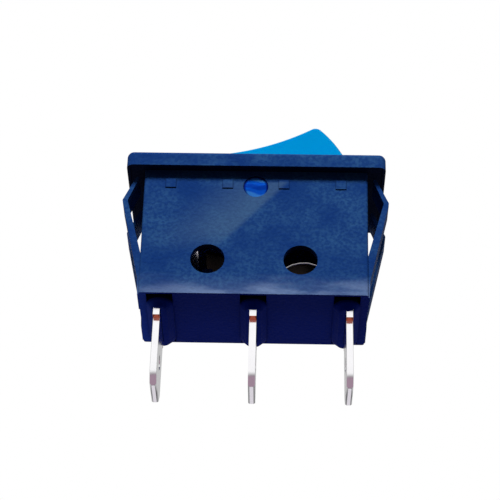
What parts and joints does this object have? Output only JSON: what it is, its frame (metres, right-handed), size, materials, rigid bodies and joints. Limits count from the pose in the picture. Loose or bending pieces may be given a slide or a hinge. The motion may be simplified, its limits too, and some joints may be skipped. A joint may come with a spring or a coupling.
{
  "type": "rocker switch",
  "caption": "Snap-in panel rocker switch with a translucent blue lit rocker, a dark rectangular body with sprung side wings, and bare blade terminals in line.",
  "frame": {"origin": "centre of the panel cut-out, on the bezel's underside where it bears on the panel", "axes": "+X along the switch towards the rocker's raised end, +Y across it, +Z out of the front of the panel; the blade terminals point to -Z"},
  "size_m": [0.0316, 0.014, 0.0349],
  "materials": {
    "housing_plastic": "moulded nylon, dark navy, satin to gloss",
    "rocker_plastic": "moulded translucent polycarbonate, bright blue, glossy",
    "plunger_plastic": "moulded acetal, off-white",
    "spring_steel": "drawn spring wire",
    "arm_brass": "rolled copper alloy strip, reddish",
    "contact_silver": "silver alloy rivet, bright",
    "terminal_plate": "brass strip, bright silver-coloured plating",
    "lamp_glass": "clear blown glass",
    "resistor_coat": "lacquered ceramic",
    "lead_wire": "tinned copper wire"
  },
  "bodies": {
    "housing": {"housing": "housing_plastic", "terminal_left": "terminal_plate", "terminal_centre": "terminal_plate", "terminal_right": "terminal_plate", "fixed_contact": "contact_silver", "lamp_spring": "spring_steel"},
    "rocker": {"rocker": "rocker_plastic", "plunger_spring": "spring_steel", "lamp_bulb": "lamp_glass", "lamp_resistor": "resistor_coat", "lamp_lead_live": "lead_wire", "lamp_lead_return": "lead_wire"},
    "plunger": {"plunger": "plunger_plastic"},
    "arm": {"contact_arm": "arm_brass", "moving_contact": "contact_silver"}
  },
  "joints": [
    {"name": "rocker_tilt", "type": "hinge", "parent": "housing", "child": "rocker", "pos_m": [0, 0, -0.00207], "axis": [0, 1, 0], "range_deg": [0, 28], "deforming": ["lamp_spring"]},
    {"name": "plunger_slide", "type": "slide", "parent": "rocker", "child": "plunger", "axis": [-0.2419, 0, 0.9703], "range_m": [0, 0.0006], "stiffness_N_per_m": 300, "springref_m": -0.001, "deforming": ["plunger_spring"]},
    {"name": "arm_tilt", "type": "hinge", "parent": "housing", "child": "arm", "pos_m": [0, 0, -0.01199], "axis": [0, 1, 0], "range_deg": [-14, 0]}
  ],
  "couplings": [
    {"joint": "arm_tilt", "follows": "rocker_tilt", "ratio": -0.5}
  ]
}
